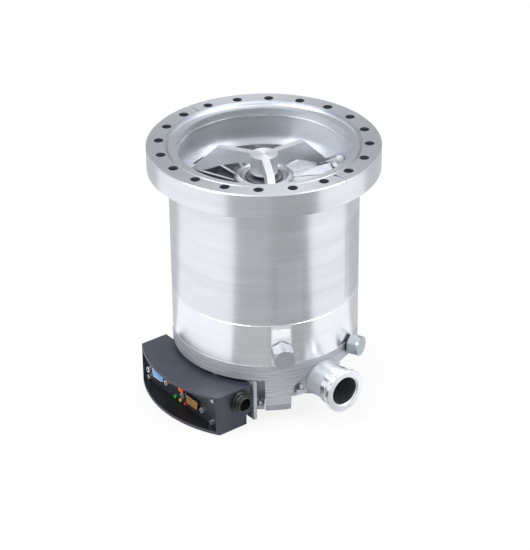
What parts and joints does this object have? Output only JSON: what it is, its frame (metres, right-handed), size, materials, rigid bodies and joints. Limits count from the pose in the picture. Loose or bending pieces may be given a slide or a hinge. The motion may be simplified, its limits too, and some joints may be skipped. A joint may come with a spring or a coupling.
{
  "type": "turbomolecular pump",
  "caption": "Turbomolecular vacuum pump: round steel body with a wide bolted inlet flange, bladed rotor, small clamp-flange outlet and a side drive controller.",
  "frame": {"origin": "centre of the inlet flange's sealing side, at its outer face", "axes": "+Z out of the inlet, +X out of the fore-vacuum port, -Y towards the drive controller"},
  "size_m": [0.2143, 0.2132, 0.232],
  "materials": {
    "stainless_body": "brushed",
    "stainless_polished": "polished",
    "cast_aluminium": "as cast",
    "machined_aluminium": "machined",
    "rotor_aluminium": "machined",
    "steel_screws": "satin",
    "bearing_steel": "ground",
    "seal_rubber": "matte",
    "magnet": "satin",
    "lamination": "satin",
    "copper": "enamelled",
    "controller_paint": "satin",
    "panel_dark": "satin",
    "board_green": "matte",
    "plastic_blue": "satin",
    "plastic_brown": "satin",
    "plastic_orange": "satin",
    "plastic_black": "satin",
    "pin_white": "satin",
    "cage_plastic": "matte",
    "led_green": "gloss",
    "led_yellow": "gloss",
    "led_red": "gloss"
  },
  "bodies": {
    "pump_body": {"inlet_housing": "stainless_body", "lower_housing": "stainless_polished", "base_casting": "cast_aluminium", "bottom_cover": "cast_aluminium", "housing_screws": "steel_screws", "cover_screws": "steel_screws", "panel_screws": "steel_screws", "dsub_jackscrews": "steel_screws", "earth_screw": "steel_screws", "star_pin": "pin_white", "housing_seal": "seal_rubber", "base_seal": "seal_rubber", "cover_seal": "seal_rubber", "vent_seal": "seal_rubber", "purge_seal": "seal_rubber", "fore_vacuum_port": "machined_aluminium", "vent_plug": "stainless_body", "purge_plug": "stainless_body", "bearing_star": "machined_aluminium", "spacer_ring_1": "machined_aluminium", "spacer_ring_2": "machined_aluminium", "spacer_ring_3": "machined_aluminium", "spacer_ring_4": "machined_aluminium", "spacer_ring_5": "machined_aluminium", "stator_disc_1": "machined_aluminium", "stator_disc_2": "machined_aluminium", "stator_disc_3": "machined_aluminium", "stator_disc_4": "machined_aluminium", "drag_stator": "machined_aluminium", "magnet_bearing_stator": "magnet", "motor_stator": "lamination", "motor_windings": "copper", "bearing_outer_ring": "bearing_steel", "bearing_retainer": "bearing_steel", "controller_housing": "controller_paint", "controller_panel": "panel_dark", "controller_brackets": "machined_aluminium", "circuit_board": "board_green", "dsub_blue": "plastic_blue", "dsub_brown": "plastic_brown", "orange_socket": "plastic_black", "orange_insert": "plastic_orange", "power_connector": "plastic_black", "led_green": "led_green", "led_yellow": "led_yellow", "led_red": "led_red"},
    "rotor": {"rotor_shaft": "bearing_steel", "rotor_stage_1": "rotor_aluminium", "rotor_stage_2": "rotor_aluminium", "rotor_stage_3": "rotor_aluminium", "rotor_stage_4": "rotor_aluminium", "rotor_stage_5": "rotor_aluminium", "balance_ring": "rotor_aluminium", "magnet_bearing_rotor": "magnet", "drag_rotor": "rotor_aluminium", "motor_magnet": "magnet", "bearing_inner_ring": "bearing_steel", "bearing_nut": "bearing_steel"},
    "cage": {"bearing_cage": "cage_plastic", "bearing_balls": "bearing_steel"}
  },
  "joints": [
    {"name": "rotor_spin", "type": "hinge", "parent": "pump_body", "child": "rotor", "pos_m": [0, 0, -0.1], "axis": [0, 0, 1], "continuous": true},
    {"name": "cage_spin", "type": "hinge", "parent": "pump_body", "child": "cage", "pos_m": [0, 0, -0.209], "axis": [0, 0, 1], "continuous": true}
  ],
  "couplings": [
    {"joint": "cage_spin", "follows": "rotor_spin", "ratio": 0.3694}
  ]
}
